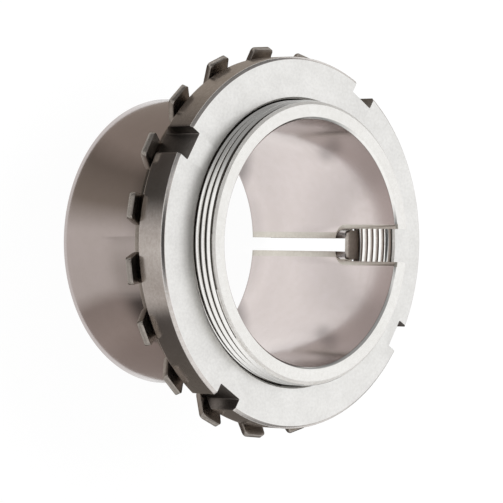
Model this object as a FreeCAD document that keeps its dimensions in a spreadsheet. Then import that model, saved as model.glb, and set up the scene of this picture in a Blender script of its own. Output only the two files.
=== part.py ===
import FreeCAD, Part

import math
import os

import Sketcher

# Bearing adapter sleeve: a split taper sleeve with its lock washer and slotted lock nut.
# The sleeve stands on its large plain end. The axis is +Z, from the large end to the threaded nose,
# and the slit, the keyway and the washer's inner tab lie on +X.

OUT_DIR = "parts"

# Name, value and meaning of each size that can be set by itself: millimetres, degrees or a count.
SIZES = (
    ("shaft_dia", "65", "bore of the sleeve, closed on its shaft"),
    ("sleeve_length", "55", "sleeve, large end to nose"),
    ("seat_taper", "12", "the seat loses 1 mm of diameter in this length"),
    ("base_break", "0.4", "edge break at the large end"),
    ("sleeve_wall", "5", "wall from the bore to the thread's crests and the seat's small end"),
    ("thread_length", "21.5", "threaded length behind the nose"),
    ("nose_chamfer", "1.2", "lead-in of the thread at the nose"),
    ("mouth_break", "0.6", "edge break of the bore at the nose"),
    ("slit_width", "3.6", "slit through the whole wall"),
    ("slit_bevel", "1.6", "width of the bevel beside the slit in the bore"),
    ("key_bevel", "1.1", "width of the bevel beside the keyway in the bore"),
    ("bevel_depth", "0.45", "depth of both bevels"),
    ("key_play", "0.45", "clearance at each side of the washer's inner tab"),
    ("key_room", "0.3", "way that the inner tab has left before the keyway's round end"),
    ("washer_thickness", "1.5", "sheet of the lock washer"),
    ("washer_play", "0.25", "radial clearance of the washer's ring on the thread"),
    ("ring_width", "7.5", "ring of the washer, out from the thread's crests"),
    ("tab_reach", "7", "bent tabs, out from the ring"),
    ("tab_count", "19", "bent tabs round the washer"),
    ("tab_root_width", "8", "bent tab at its root"),
    ("tab_tip_width", "7", "bent tab at its end"),
    ("tab_corner", "1", "rounding of a bent tab's end"),
    ("tab_bend", "31", "angle of the tabs out of the washer's plane"),
    ("bend_radius", "1", "inside radius of the tabs' bend"),
    ("inner_tab_width", "8", "straight tab that keys the washer to the sleeve"),
    ("inner_tab_reach", "3.5", "inner tab, in from the thread's crests"),
    ("inner_tab_corner", "0.8", "rounding of the inner tab's end"),
    ("nut_wall", "11.5", "lock nut, out from the thread's crests"),
    ("nut_width", "13", "lock nut, front to back"),
    ("nut_setback", "6.1", "the nut's front face behind the sleeve's nose"),
    ("nut_play", "0.1", "radial clearance of the nut's bore on the thread's crests"),
    ("nut_face_chamfer", "0.7", "edge of the nut's front face"),
    ("nut_back_land", "7.5", "bearing face at the nut's back, out from the thread's crests"),
    ("nut_back_chamfer", "4.3", "length of the nut's long back chamfer"),
    ("nut_mouth_width", "3", "countersink in the nut's front face, out from the thread's crests"),
    ("nut_mouth_depth", "1.5", "depth of that countersink"),
    ("nut_back_mouth", "0.7", "edge break of the nut's bore at its back"),
    ("slot_count", "4", "spanner slots round the nut"),
    ("slot_width", "8", "spanner slot"),
    ("slot_depth", "3.5", "spanner slot, in from the nut's outside"),
    ("slot_angle", "58.6", "first spanner slot, from +X"),
    ("overrun", "2", "how far a cutting outline runs past the metal"),
)

# Places that follow from the sizes.
PLACES = (
    ("bore_r", "=Sizes.shaft_dia / 2"),
    ("thread_r", "=bore_r + Sizes.sleeve_wall"),
    ("nose_z", "=Sizes.sleeve_length"),
    ("seat_length", "=nose_z - Sizes.thread_length"),
    ("seat_large_r", "=thread_r + seat_length / Sizes.seat_taper / 2"),
    ("outside_r", "=seat_large_r + Sizes.overrun"),
    ("slit_half", "=Sizes.slit_width / 2"),
    ("slit_mouth_half", "=slit_half + Sizes.slit_bevel"),
    ("slit_mouth_x", "=sqrt(bore_r ^ 2 - slit_mouth_half ^ 2)"),
    ("key_half", "=Sizes.inner_tab_width / 2 + Sizes.key_play"),
    ("key_mouth_half", "=key_half + Sizes.key_bevel"),
    ("key_mouth_x", "=sqrt(bore_r ^ 2 - key_mouth_half ^ 2)"),
    ("nut_r", "=thread_r + Sizes.nut_wall"),
    ("nut_back_r", "=thread_r + Sizes.nut_back_land"),
    ("nut_bore_r", "=thread_r + Sizes.nut_play"),
    ("nut_mouth_r", "=thread_r + Sizes.nut_mouth_width"),
    ("nut_front", "=nose_z - Sizes.nut_setback"),
    ("nut_back", "=nut_front - Sizes.nut_width"),
    ("slot_floor_r", "=nut_r - Sizes.slot_depth"),
    ("washer_front", "=nut_back"),
    ("washer_back", "=washer_front - Sizes.washer_thickness"),
    ("washer_bore_r", "=thread_r + Sizes.washer_play"),
    ("ring_r", "=thread_r + Sizes.ring_width"),
    ("tip_r", "=ring_r + Sizes.tab_reach"),
    ("past_tip_r", "=tip_r + Sizes.overrun"),
    ("bend_sin", "=sin(Sizes.tab_bend)"),
    ("bend_cos", "=cos(Sizes.tab_bend)"),
    ("back_bend_r", "=Sizes.bend_radius + Sizes.washer_thickness"),
    ("back_bend_x", "=ring_r + back_bend_r * bend_sin"),
    ("back_bend_z", "=washer_back + back_bend_r * (1 - bend_cos)"),
    ("front_bend_x", "=ring_r + Sizes.bend_radius * bend_sin"),
    ("front_bend_z", "=washer_front + Sizes.bend_radius * (1 - bend_cos)"),
    ("tip_z", "=back_bend_z + (tip_r - back_bend_x) * bend_sin / bend_cos"),
    ("gap_root_angle", "=180deg / Sizes.tab_count - asin(Sizes.tab_root_width / 2 / ring_r)"),
    ("gap_tip_angle", "=180deg / Sizes.tab_count - asin(Sizes.tab_tip_width / 2 / tip_r)"),
    ("inner_tab_half", "=Sizes.inner_tab_width / 2"),
    ("inner_tip_r", "=thread_r - Sizes.inner_tab_reach"),
    ("key_end", "=washer_back - Sizes.key_room + sqrt(key_half ^ 2 - inner_tab_half ^ 2)"),
)


def fill_sheet(doc, name, rows):
    """Fill a spreadsheet: a name, an aliased cell and, where given, its meaning in each row."""
    sheet = doc.addObject("Spreadsheet::Sheet", name)
    for number, (alias, content, *meaning) in enumerate(rows, start=1):
        sheet.set(f"A{number}", alias)
        sheet.set(f"B{number}", content)
        sheet.setAlias(f"B{number}", alias)
        for text in meaning:
            sheet.set(f"C{number}", text)
    doc.recompute()
    return sheet


def new_body(doc, label):
    """Start the body of one sub-part, in the common frame."""
    body = doc.addObject("PartDesign::Body", label)
    body.Label = label
    body.Placement = FreeCAD.Placement()
    return body


def own(body, role):
    """Find one of a body's own origin planes or axes by its role."""
    return next(item for item in body.Origin.OriginFeatures if item.Role == role)


def new_sketch(body, role, name, offset=None):
    """Put an empty sketch on one of the body's origin planes, raised by an expression if one is given."""
    sketch = body.newObject("Sketcher::SketchObject", name)
    sketch.AttachmentSupport = [(own(body, role), "")]
    sketch.MapMode = "FlatFace"
    if offset:
        sketch.setExpression("AttachmentOffset.Base.z", offset)
    return sketch


def number(sketch, expression):
    """Work out an expression over the sheets."""
    return float(sketch.evalExpression(expression))


def arc_between(start, stop, radius, side):
    """Make the shorter arc between two points, its centre left (1) or right (-1) of the way."""
    chord = stop - start
    half = chord.Length / 2
    across = FreeCAD.Vector(-chord.y, chord.x, 0).normalize()
    centre = start + chord * 0.5 + across * side * math.sqrt(radius ** 2 - half ** 2)
    first, last = (start, stop) if side > 0 else (stop, start)
    first_angle = math.atan2(first.y - centre.y, first.x - centre.x)
    last_angle = math.atan2(last.y - centre.y, last.x - centre.x)
    circle = Part.Circle(centre, FreeCAD.Vector(0, 0, 1), radius)
    return Part.ArcOfCircle(circle, first_angle, last_angle)


def draw_outline(sketch, corners, arcs=None):
    """Draw a closed outline and hold its corners by expressions.

    arcs gives, for the corner that an arc starts from, the expression of its radius and the side of
    its centre. Every other stretch is a straight line.
    """
    arcs = arcs or {}
    points = [FreeCAD.Vector(number(sketch, across), number(sketch, up), 0) for across, up in corners]
    ends = []
    for index, start in enumerate(points):
        stop = points[(index + 1) % len(points)]
        if index in arcs:
            radius, side = arcs[index]
            edge = sketch.addGeometry(arc_between(start, stop, number(sketch, radius), side))
            ends.append((edge, 1, 2) if side > 0 else (edge, 2, 1))
        else:
            edge = sketch.addGeometry(Part.LineSegment(start, stop))
            ends.append((edge, 1, 2))
    for index, (edge, _, stop) in enumerate(ends):
        following, start, _ = ends[(index + 1) % len(ends)]
        sketch.addConstraint(Sketcher.Constraint("Coincident", edge, stop, following, start))
    for (edge, start, _), (across, up) in zip(ends, corners):
        hold(sketch, "DistanceX", edge, start, across)
        hold(sketch, "DistanceY", edge, start, up)
    for index, (radius, _) in arcs.items():
        edge = ends[index][0]
        held = sketch.addConstraint(Sketcher.Constraint("Radius", edge, number(sketch, radius)))
        sketch.setExpression(f"Constraints[{held}]", radius)


def hold(sketch, kind, edge, end, expression):
    """Hold one coordinate of an edge's end at an expression."""
    if expression == "0":
        axis = -2 if kind == "DistanceX" else -1
        sketch.addConstraint(Sketcher.Constraint("PointOnObject", edge, end, axis))
        return
    constraint = Sketcher.Constraint(kind, -1, 1, edge, end, number(sketch, expression))
    held = sketch.addConstraint(constraint)
    sketch.setExpression(f"Constraints[{held}]", expression)


def revolve(body, sketch, name):
    """Turn a half section right round the axis."""
    turned = body.newObject("PartDesign::Revolution", name)
    turned.Profile = sketch
    turned.ReferenceAxis = (sketch, ["V_Axis"])
    turned.Angle = 360
    return turned


def cut_through(body, sketch, name):
    """Cut an outline through the body, both ways from its plane."""
    pocket = body.newObject("PartDesign::Pocket", name)
    pocket.Profile = sketch
    pocket.Type = "ThroughAll"
    pocket.SideType = "Symmetric"
    return pocket


def repeat_round(body, feature, count, name):
    """Repeat a feature evenly round the axis."""
    pattern = body.newObject("PartDesign::PolarPattern", name)
    pattern.Originals = [feature]
    pattern.Axis = (own(body, "Z_Axis"), [""])
    pattern.Angle = 360
    pattern.setExpression("Occurrences", count)
    body.Tip = pattern
    return pattern


def round_corners(body, feature, chosen, radius, name):
    """Round the edges of a feature that the test picks out, with faces in one plane kept apart."""
    edges = [f"Edge{place}" for place, edge in enumerate(feature.Shape.Edges, start=1) if chosen(edge)]
    fillet = body.newObject("PartDesign::Fillet", name)
    fillet.Base = (feature, edges)
    fillet.setExpression("Radius", radius)
    fillet.Refine = False
    body.Tip = fillet
    return fillet


def sleeve(doc):
    """Taper seat and threaded nose in one turned piece, slit through, with a keyway in the thread."""
    body = new_body(doc, "sleeve")
    section = new_sketch(body, "XZ_Plane", "SleeveSection")
    draw_outline(section, (
        ("Places.bore_r + Sizes.base_break", "0"),
        ("Places.seat_large_r - Sizes.base_break", "0"),
        ("Places.seat_large_r", "Sizes.base_break"),
        ("Places.thread_r", "Places.seat_length"),
        ("Places.thread_r", "Places.nose_z - Sizes.nose_chamfer"),
        ("Places.thread_r - Sizes.nose_chamfer", "Places.nose_z"),
        ("Places.bore_r + Sizes.mouth_break", "Places.nose_z"),
        ("Places.bore_r", "Places.nose_z - Sizes.mouth_break"),
        ("Places.bore_r", "Sizes.base_break"),
    ))
    revolve(body, section, "TurnedSleeve")

    slit = new_sketch(body, "XY_Plane", "SlitOutline")
    draw_outline(slit, (
        ("Places.slit_mouth_x - Sizes.overrun", "-Places.slit_mouth_half"),
        ("Places.slit_mouth_x", "-Places.slit_mouth_half"),
        ("Places.slit_mouth_x + Sizes.bevel_depth", "-Places.slit_half"),
        ("Places.outside_r", "-Places.slit_half"),
        ("Places.outside_r", "Places.slit_half"),
        ("Places.slit_mouth_x + Sizes.bevel_depth", "Places.slit_half"),
        ("Places.slit_mouth_x", "Places.slit_mouth_half"),
        ("Places.slit_mouth_x - Sizes.overrun", "Places.slit_mouth_half"),
    ))
    cut_through(body, slit, "Slit")

    # The keyway is open at the nose, and an end mill as wide as it leaves its end round.
    keyway = new_sketch(body, "YZ_Plane", "KeywayOutline")
    draw_outline(keyway, (
        ("-Places.key_half", "Places.key_end"),
        ("0", "Places.key_end - Places.key_half"),
        ("Places.key_half", "Places.key_end"),
        ("Places.key_half", "Places.nose_z + Sizes.overrun"),
        ("-Places.key_half", "Places.nose_z + Sizes.overrun"),
    ), arcs={0: ("Places.key_half", 1), 1: ("Places.key_half", 1)})
    milled = body.newObject("PartDesign::Pocket", "Keyway")
    milled.Profile = keyway
    milled.Reversed = True
    milled.setExpression("Length", "Places.outside_r")

    bevel = new_sketch(body, "XY_Plane", "KeywayBevelOutline", offset="Places.key_end")
    draw_outline(bevel, (
        ("Places.key_mouth_x - Sizes.overrun", "-Places.key_mouth_half"),
        ("Places.key_mouth_x", "-Places.key_mouth_half"),
        ("Places.key_mouth_x + Sizes.bevel_depth", "-Places.key_half"),
        ("Places.key_mouth_x + Sizes.bevel_depth", "Places.key_half"),
        ("Places.key_mouth_x", "Places.key_mouth_half"),
        ("Places.key_mouth_x - Sizes.overrun", "Places.key_mouth_half"),
    ))
    eased = body.newObject("PartDesign::Pocket", "KeywayBevel")
    eased.Profile = bevel
    eased.Reversed = True
    eased.setExpression("Length", "Places.nose_z - Places.key_end + Sizes.overrun")
    body.Tip = eased
    return body


def lock_washer(doc):
    """Flat ring with a rim of bent tabs, and one straight tab inwards that sits in the keyway."""
    body = new_body(doc, "lock_washer")
    section = new_sketch(body, "XZ_Plane", "WasherSection")
    draw_outline(section, (
        ("Places.washer_bore_r", "Places.washer_back"),
        ("Places.ring_r", "Places.washer_back"),
        ("Places.back_bend_x", "Places.back_bend_z"),
        ("Places.tip_r", "Places.tip_z"),
        (
            "Places.tip_r - Sizes.washer_thickness * Places.bend_sin",
            "Places.tip_z + Sizes.washer_thickness * Places.bend_cos",
        ),
        ("Places.front_bend_x", "Places.front_bend_z"),
        ("Places.ring_r", "Places.washer_front"),
        ("Places.washer_bore_r", "Places.washer_front"),
    ), arcs={1: ("Places.back_bend_r", 1), 5: ("Sizes.bend_radius", -1)})
    revolve(body, section, "RingAndRim")

    # One gap is cut on -X and repeated, so with an odd count a bent tab stands over the inner tab.
    gap = new_sketch(body, "XY_Plane", "TabGapOutline")
    draw_outline(gap, (
        ("-Places.ring_r * cos(Places.gap_root_angle)", "Places.ring_r * sin(Places.gap_root_angle)"),
        ("-Places.ring_r * cos(Places.gap_root_angle)", "-Places.ring_r * sin(Places.gap_root_angle)"),
        ("-Places.past_tip_r * cos(Places.gap_tip_angle)", "-Places.past_tip_r * sin(Places.gap_tip_angle)"),
        ("-Places.past_tip_r * cos(Places.gap_tip_angle)", "Places.past_tip_r * sin(Places.gap_tip_angle)"),
    ), arcs={0: ("Places.ring_r", 1)})
    first_gap = cut_through(body, gap, "TabGap")
    doc.recompute()
    repeat_round(body, first_gap, "Sizes.tab_count", "TabGaps")

    inner = new_sketch(body, "XY_Plane", "InnerTabOutline", offset="Places.washer_back")
    draw_outline(inner, (
        ("Places.inner_tip_r", "-Places.inner_tab_half"),
        ("Places.washer_bore_r + Sizes.washer_thickness", "-Places.inner_tab_half"),
        ("Places.washer_bore_r + Sizes.washer_thickness", "Places.inner_tab_half"),
        ("Places.inner_tip_r", "Places.inner_tab_half"),
    ))
    # The ring's back, which the bearing meets, stays a face apart from the tab's back.
    key = body.newObject("PartDesign::Pad", "InnerTab")
    key.Refine = False
    key.Profile = inner
    key.setExpression("Length", "Sizes.washer_thickness")
    body.Tip = key
    doc.recompute()

    thickness = number(inner, "Sizes.washer_thickness")
    leaning = number(inner, "Sizes.washer_thickness * Places.bend_cos")
    bore_r = number(inner, "Places.washer_bore_r")
    rim = number(inner, "Places.tip_r - Sizes.washer_thickness")

    def radii(edge):
        return [math.hypot(vertex.X, vertex.Y) for vertex in edge.Vertexes]

    def rises(edge, height):
        heights = [vertex.Z for vertex in edge.Vertexes]
        return abs(max(heights) - min(heights) - height) < thickness / 20

    def is_tab_corner(edge):
        """Tell an edge through the sheet at the end of a bent tab."""
        return min(radii(edge)) > rim and rises(edge, leaning)

    def is_inner_corner(edge):
        """Tell an edge through the sheet inside the washer's bore."""
        return max(radii(edge)) < bore_r - thickness / 20 and rises(edge, thickness)

    rounded = round_corners(body, key, is_tab_corner, "Sizes.tab_corner", "TabCorners")
    doc.recompute()
    round_corners(body, rounded, is_inner_corner, "Sizes.inner_tab_corner", "InnerTabCorners")
    return body


def lock_nut(doc):
    """Round nut with spanner slots, a long chamfer at its back and a countersunk bore."""
    body = new_body(doc, "lock_nut")
    section = new_sketch(body, "XZ_Plane", "NutSection")
    draw_outline(section, (
        ("Places.nut_bore_r", "Places.nut_back + Sizes.nut_back_mouth"),
        ("Places.nut_bore_r + Sizes.nut_back_mouth", "Places.nut_back"),
        ("Places.nut_back_r", "Places.nut_back"),
        ("Places.nut_r", "Places.nut_back + Sizes.nut_back_chamfer"),
        ("Places.nut_r", "Places.nut_front - Sizes.nut_face_chamfer"),
        ("Places.nut_r - Sizes.nut_face_chamfer", "Places.nut_front"),
        ("Places.nut_mouth_r", "Places.nut_front"),
        ("Places.nut_bore_r", "Places.nut_front - Sizes.nut_mouth_depth"),
    ))
    revolve(body, section, "TurnedNut")

    slot = new_sketch(body, "XY_Plane", "SlotOutline")
    slot.setExpression("AttachmentOffset.Rotation.Angle", "Sizes.slot_angle")
    draw_outline(slot, (
        ("Places.slot_floor_r", "-Sizes.slot_width / 2"),
        ("Places.nut_r + Sizes.overrun", "-Sizes.slot_width / 2"),
        ("Places.nut_r + Sizes.overrun", "Sizes.slot_width / 2"),
        ("Places.slot_floor_r", "Sizes.slot_width / 2"),
    ))
    first_slot = cut_through(body, slot, "SpannerSlot")
    doc.recompute()
    repeat_round(body, first_slot, "Sizes.slot_count", "SpannerSlots")
    return body


def check_document(doc):
    """Stop if any object failed, or any sketch is left loose."""
    for item in doc.Objects:
        if "Invalid" in item.State or "Error" in item.State:
            raise RuntimeError(f"{item.Name} failed: {item.State}")
        if item.isDerivedFrom("Sketcher::SketchObject") and not item.FullyConstrained:
            raise RuntimeError(f"{item.Name} is left loose")


def check_cuts(body):
    """Stop if a cut took nothing away."""
    before = None
    for item in body.Group:
        if not item.isDerivedFrom("PartDesign::Feature"):
            continue
        volume = item.Shape.Volume
        if item.isDerivedFrom("PartDesign::Pocket") and volume >= before:
            raise RuntimeError(f"{item.Name} cuts nothing")
        before = volume


def export(body):
    """Write one sub-part, once it is a single sound solid."""
    shape = body.Shape
    if shape.isNull() or not shape.isValid() or len(shape.Solids) != 1:
        raise RuntimeError(f"{body.Label} is not one sound solid")
    shape.exportStep(os.path.join(OUT_DIR, f"{body.Label}.step"))
    print(f"{body.Label}: {shape.Volume / 1000:.2f} cm3, {len(shape.Faces)} faces")


def main():
    """Build the sheets and the three sub-parts, check them and write them."""
    doc = FreeCAD.newDocument("AdapterSleeve")
    fill_sheet(doc, "Sizes", SIZES)
    fill_sheet(doc, "Places", PLACES)
    bodies = [sleeve(doc), lock_washer(doc), lock_nut(doc)]
    doc.recompute()
    check_document(doc)
    for body in bodies:
        check_cuts(body)
    os.makedirs(OUT_DIR, exist_ok=True)
    for body in bodies:
        export(body)


main()
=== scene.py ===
"""Looks of a bearing adapter sleeve: split taper sleeve, lock washer and slotted lock nut.

The set stands on the sleeve's large end. The axis is +Z, from the large end to the threaded nose, and
the slit, the keyway and the washer's inner tab lie on +X. Lengths are in metres.
"""

import logging
import math
from dataclasses import dataclass, field, replace
from enum import Enum, IntEnum
from typing import Any, Callable, Iterable, Mapping, Optional, Sequence, Union

import bmesh
import bpy
from mathutils import Matrix, Vector


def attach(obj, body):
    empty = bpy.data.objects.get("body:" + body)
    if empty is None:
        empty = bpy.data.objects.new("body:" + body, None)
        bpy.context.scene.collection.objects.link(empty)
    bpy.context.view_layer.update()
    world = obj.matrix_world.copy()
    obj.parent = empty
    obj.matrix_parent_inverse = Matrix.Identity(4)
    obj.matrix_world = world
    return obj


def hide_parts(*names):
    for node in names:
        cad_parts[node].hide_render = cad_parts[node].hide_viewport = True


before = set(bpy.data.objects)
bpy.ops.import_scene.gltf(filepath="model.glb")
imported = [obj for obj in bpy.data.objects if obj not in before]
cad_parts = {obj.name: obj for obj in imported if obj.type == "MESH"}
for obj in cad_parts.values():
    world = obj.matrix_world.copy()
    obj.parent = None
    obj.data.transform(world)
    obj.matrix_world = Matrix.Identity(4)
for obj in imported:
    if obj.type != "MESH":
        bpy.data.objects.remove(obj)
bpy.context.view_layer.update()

LOG = logging.getLogger("adapter_sleeve")
MM = 0.001

# Points nearer than this are one, and this many facets lie round the axis.
WELD = 2e-6
COLUMNS = 320
# How far a cutter reaches past what it cuts, and the slack in a test of where a point lies.
PAST = 2.0 * MM
CLEAR = 0.02 * MM
# An edge this sharp can be eased, and faces that meet at less than this are shaded as one.
SHARP_FROM = math.radians(28)
SMOOTH_TO = math.radians(26)
# A face lies across the axis where its normal has this much of it.
LEVEL = 0.95

Object = bpy.types.Object
Mesh = bpy.types.Mesh
Material = bpy.types.Material
Face = bpy.types.MeshPolygon
Work = bmesh.types.BMesh
Edge = bmesh.types.BMEdge
Point2 = tuple[float, float]
Corner = tuple[float, float, float]
Colour = tuple[float, float, float]
Shades = tuple[tuple[float, Colour], ...]
Settings = Mapping[str, Any]
Inputs = Mapping[Union[int, str], Any]


class Side(Enum):
    """Whether a thread is cut on a rod or in a bore."""

    OUTSIDE = 1
    INSIDE = -1


class SleeveZone(IntEnum):
    """The parts of the sleeve that have a finish each."""

    GROUND = 0
    THREAD = 1
    ROOT = 2
    FILED = 3
    NOSE = 4
    LEAD_IN = 5


class WasherZone(IntEnum):
    """The parts of the washer that have a finish each."""

    SHEET = 0
    INNER_TAB = 1


class NutZone(IntEnum):
    """The parts of the nut that have a finish each."""

    FACE = 0
    RIM = 1
    SLOT = 2
    ROOT = 3
    THREAD = 4
    MOUTH = 5
    # Painted shadow: the dark edge where the mouth meets the thread.
    MOUTH_EDGE = 6


@dataclass(frozen=True)
class Wire:
    """A node's output that takes part in Python expressions."""

    board: "Board"
    socket: bpy.types.NodeSocket

    def math(self, operation: str, *others: "Value") -> "Wire":
        """Add one Math node that starts with this value."""
        return self.board.math(operation, self, *others)

    def __add__(self, other: "Value") -> "Wire":
        """Add."""
        return self.math("ADD", other)

    def __sub__(self, other: "Value") -> "Wire":
        """Take away."""
        return self.math("SUBTRACT", other)

    def __mul__(self, other: "Value") -> "Wire":
        """Multiply."""
        return self.math("MULTIPLY", other)

    def __truediv__(self, other: "Value") -> "Wire":
        """Divide."""
        return self.math("DIVIDE", other)

    def __radd__(self, other: float) -> "Wire":
        """Add to a number."""
        return self.math("ADD", other)

    def __rmul__(self, other: float) -> "Wire":
        """Multiply a number."""
        return self.math("MULTIPLY", other)

    def __rsub__(self, other: float) -> "Wire":
        """Take away from a number."""
        return self.board.math("SUBTRACT", other, self)

    def __rtruediv__(self, other: float) -> "Wire":
        """Divide a number."""
        return self.board.math("DIVIDE", other, self)

    def __abs__(self) -> "Wire":
        """Drop the sign."""
        return self.math("ABSOLUTE")

    def clamped(self) -> "Wire":
        """Hold between 0 and 1."""
        return self.math("MINIMUM", 1.0).math("MAXIMUM", 0.0)


Value = Union[Wire, float]


@dataclass(frozen=True)
class Board:
    """Adds nodes to one tree."""

    tree: bpy.types.NodeTree

    def add(
        self, kind: str, settings: Optional[Settings] = None, inputs: Optional[Inputs] = None
    ) -> bpy.types.Node:
        """Add one node.

        Args:
            kind: The node's type.
            settings: Properties of the node, set before its sockets; "stops" fills a colour ramp.
            inputs: A value or a wire for each named or numbered socket.

        Returns:
            The node.
        """
        node = self.tree.nodes.new(kind)
        for name, value in (settings or {}).items():
            if name == "stops":
                fill_ramp(node.color_ramp, value)
            else:
                setattr(node, name, value)
        for key, value in (inputs or {}).items():
            if isinstance(value, Wire):
                self.tree.links.new(value.socket, node.inputs[key])
            else:
                node.inputs[key].default_value = value
        return node

    def wire(self, node: bpy.types.Node, output: Union[int, str] = 0) -> Wire:
        """Take one output of a node."""
        return Wire(self, node.outputs[output])

    def take(self, kind: str, inputs: Optional[Inputs] = None, output: Union[int, str] = 0) -> Wire:
        """Add one node without settings and take one of its outputs."""
        return self.wire(self.add(kind, None, inputs), output)

    def math(self, operation: str, *values: Value) -> Wire:
        """Add one Math node with its values in order."""
        return self.wire(self.add("ShaderNodeMath", {"operation": operation}, dict(enumerate(values))))

    def vector(self, x: Value, y: Value, z: Value) -> Wire:
        """Put three values together."""
        return self.take("ShaderNodeCombineXYZ", {0: x, 1: y, 2: z})

    def parts(self, vector: Wire) -> list[Wire]:
        """Take a vector's three values apart."""
        node = self.add("ShaderNodeSeparateXYZ", None, {0: vector})
        return [self.wire(node, part) for part in range(3)]

    def place(self, kind: str = "Object") -> Wire:
        """Take where a point lies, in one kind of coordinates."""
        return self.take("ShaderNodeTexCoord", None, kind)

    def mixed(self, factor: Value, first: Any, second: Any) -> Wire:
        """Mix two colours or wires by the share of the second."""
        inputs = {0: factor, 6: opaque(first), 7: opaque(second)}
        return self.wire(self.add("ShaderNodeMix", {"data_type": "RGBA"}, inputs), 2)

    def shade(self, stops: Sequence[tuple[float, Colour]], factor: Wire) -> Wire:
        """Take a colour from a ramp."""
        return self.wire(self.add("ShaderNodeValToRGB", {"stops": stops}, {0: factor}))

    def glow(self, colour: Any, strength: float) -> Wire:
        """Make a surface that shines by itself."""
        return self.take("ShaderNodeEmission", {"Color": opaque(colour), "Strength": strength})

    def mixed_shaders(self, factor: Value, first: Wire, second: Wire) -> Wire:
        """Mix two shaders by the share of the second."""
        return self.take("ShaderNodeMixShader", {0: factor, 1: first, 2: second})

    def surface(self, shader: Wire) -> None:
        """End a material's tree."""
        self.add("ShaderNodeOutputMaterial", None, {"Surface": shader})

    def grain(self, place: Wire, scale: float, detail: float, roughness: float = 0.5) -> Wire:
        """Make noise about one half, of so many grains in a unit of the place and so many octaves."""
        inputs = {"Vector": place, "Scale": scale, "Detail": detail, "Roughness": roughness}
        return self.take("ShaderNodeTexNoise", inputs)


def opaque(colour: Any) -> Any:
    """Give a plain colour its fourth part, and leave a wire as it is."""
    return colour if isinstance(colour, Wire) else (*colour, 1.0)


def fill_ramp(ramp: bpy.types.ColorRamp, stops: Sequence[tuple[float, Colour]]) -> None:
    """Put stops into a colour ramp.

    Args:
        ramp: The ramp of a new node, with its two first stops.
        stops: Place and colour of each stop, in rising order.
    """
    while len(ramp.elements) < len(stops):
        ramp.elements.new(1.0)
    for element, (place, colour) in zip(ramp.elements, stops):
        element.position = place
        element.color = (*colour, 1.0)


def blank_material(name: str) -> tuple[Material, Board]:
    """Start a material with an empty tree.

    Args:
        name: Name of the finish.

    Returns:
        The material and the board of its tree.
    """
    material = bpy.data.materials.new(name)
    material.use_nodes = True
    material.node_tree.nodes.clear()
    return material, Board(material.node_tree)


@dataclass(frozen=True)
class Rise:
    """A straight rise from 0 to 1."""

    start: float  # where it is 0
    width: float  # from there to where it is 1, negative where it rises the other way

    def of(self, value: Wire) -> Wire:
        """Take the rise at a value."""
        return ((value - self.start) / self.width).clamped()


@dataclass(frozen=True)
class Finish:
    """Bare metal, with what varies over it worked out from where a point lies on the piece."""

    name: str  # name of the material
    colour: Colour  # what the metal reflects
    stain: Colour  # the same where it is stained or mottled dark
    rough: Point2  # lowest and highest roughness
    mottle: float  # size of the mottles
    stain_share: float = 0.5  # how much of the stain shows
    mark: float = 0.4 * MM  # spacing of the tool's marks along the axis
    mark_depth: float = 0.0  # depth of the tool's marks
    pit_depth: float = 0.0  # depth of the mottles
    cloud_scale: float = 0.16  # grains of the clouds in one mottle
    smears: float = 60.0  # smears in a metre across the axis
    # How much mottles, clouds and smears tell in the stain.
    weights: tuple[float, float, float] = (2.2, 1.4, 0.8)
    contrast: float = 1.8  # how much mottles and smears tell in the roughness

    def material(self) -> Material:
        """Build the finish.

        Returns:
            A metal with mottled colour and roughness, and fine turning marks round the axis.
        """
        material, board = blank_material(self.name)
        place = board.place()
        x, y, z = board.parts(place)
        radius = (x * x + y * y).math("SQRT")
        coarse = board.grain(place, 1.0 / self.mottle, 6.0, 0.62)
        cloud = board.grain(place, self.cloud_scale / self.mottle, 3.0)
        turned = board.grain(board.vector(radius / self.mark, 0.0, z / self.mark), 1.0, 2.0)
        smear = board.grain(board.vector(x * self.smears, y * self.smears, z / self.mark), 1.0, 3.0)
        mottled, clouded, smeared = self.weights
        patch = (coarse - 0.5) * mottled + (cloud - 0.5) * clouded + (smear - 0.5) * smeared
        colour = board.mixed((patch + 0.5).clamped() * self.stain_share, self.colour, self.stain)
        low, high = self.rough
        spread = ((coarse * 0.5 + smear * 0.5 - 0.5) * self.contrast + 0.5).clamped()
        height = turned * self.mark_depth + coarse * self.pit_depth
        board.surface(board.take("ShaderNodeBsdfPrincipled", {
            "Base Color": colour,
            "Metallic": 1.0,
            "Roughness": spread * (high - low) + low,
            "Normal": board.take("ShaderNodeBump", {"Strength": 1.0, "Distance": 1.0, "Height": height}),
        }))
        return material


GROUND_STEEL = Finish(
    name="ground_steel", colour=(0.52, 0.468, 0.456), stain=(0.45, 0.405, 0.375), rough=(0.12, 0.20),
    mottle=3.0 * MM, stain_share=0.3, mark=0.12 * MM, mark_depth=0.0012 * MM,
)
THREAD_STEEL = Finish(
    name="thread_steel", colour=(0.94, 0.93, 0.905), stain=(0.76, 0.74, 0.70), rough=(0.13, 0.22),
    mottle=1.2 * MM, stain_share=0.35, mark=0.10 * MM, mark_depth=0.0006 * MM, pit_depth=0.001 * MM,
)
NOSE_STEEL = replace(
    THREAD_STEEL, name="turned_nose_steel", colour=(0.89, 0.88, 0.855), stain=(0.70, 0.68, 0.64)
)
WASHER_STEEL = Finish(
    name="washer_steel", colour=(0.40, 0.365, 0.33), stain=(0.22, 0.19, 0.165), rough=(0.22, 0.36),
    mottle=0.9 * MM, stain_share=0.6, pit_depth=0.004 * MM,
)
FACE_STEEL = Finish(
    name="sanded_face_steel", colour=(0.88, 0.872, 0.852), stain=(0.66, 0.65, 0.63),
    rough=(0.28, 0.40), mottle=0.8 * MM, mark=0.18 * MM, mark_depth=0.0012 * MM, pit_depth=0.010 * MM,
)
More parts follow.
